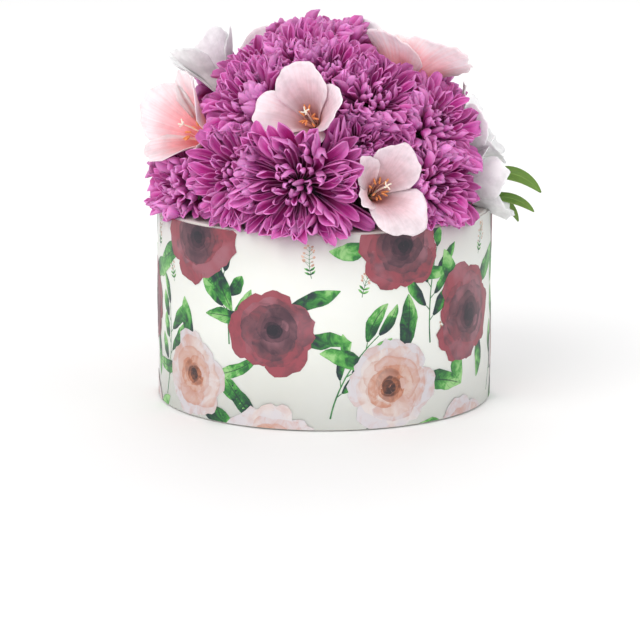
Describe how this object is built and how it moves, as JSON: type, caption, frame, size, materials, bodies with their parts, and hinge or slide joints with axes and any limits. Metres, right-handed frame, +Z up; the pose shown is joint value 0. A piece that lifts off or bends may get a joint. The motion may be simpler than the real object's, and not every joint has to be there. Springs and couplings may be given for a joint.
{
  "type": "floral cake",
  "caption": "Round tall cake in ivory icing with a watercolour flower print round its side and a dome of fresh flower heads and leaves on top.",
  "frame": {"origin": "centre of the cake's flat underside", "axes": "+Z up out of the cake's top, -Y the front in the picture, +X to the right seen from the front"},
  "size_m": [0.1986, 0.2024, 0.1961],
  "materials": {
    "icing": "smooth satin ivory icing",
    "print": "smooth satin sheet printed with watercolour flowers and leaves",
    "pad": "rough dark green",
    "mum": "soft matt magenta-purple petals",
    "blush": "soft pale pink petals",
    "coral": "soft coral-pink petals",
    "white": "soft white petals",
    "stamen": "matt orange",
    "leaf": "satin yellow-green"
  },
  "bodies": {
    "root": {"blush_flower_01": "blush", "blush_flower_02": "blush", "blush_flower_03": "blush", "blush_flower_04": "blush", "blush_stamens_01": "stamen", "blush_stamens_02": "stamen", "blush_stamens_03": "stamen", "blush_stamens_04": "stamen", "cake": "icing", "coral_flower_01": "coral", "coral_flower_02": "coral", "coral_stamens_01": "stamen", "coral_stamens_02": "stamen", "flower_pad": "pad", "leaf_01": "leaf", "leaf_02": "leaf", "leaf_03": "leaf", "leaf_04": "leaf", "leaf_05": "leaf", "leaf_06": "leaf", "mum_01": "mum", "mum_02": "mum", "mum_03": "mum", "mum_04": "mum", "mum_05": "mum", "mum_06": "mum", "mum_07": "mum", "mum_08": "mum", "mum_09": "mum", "mum_10": "mum", "mum_11": "mum", "mum_12": "mum", "mum_13": "mum", "mum_14": "mum", "mum_15": "mum", "mum_16": "mum", "mum_17": "mum", "mum_18": "mum", "mum_19": "mum", "mum_20": "mum", "printed_wrap": "print", "white_flower_01": "white", "white_flower_02": "white", "white_flower_03": "white", "white_flower_04": "white"}
  },
  "joints": []
}
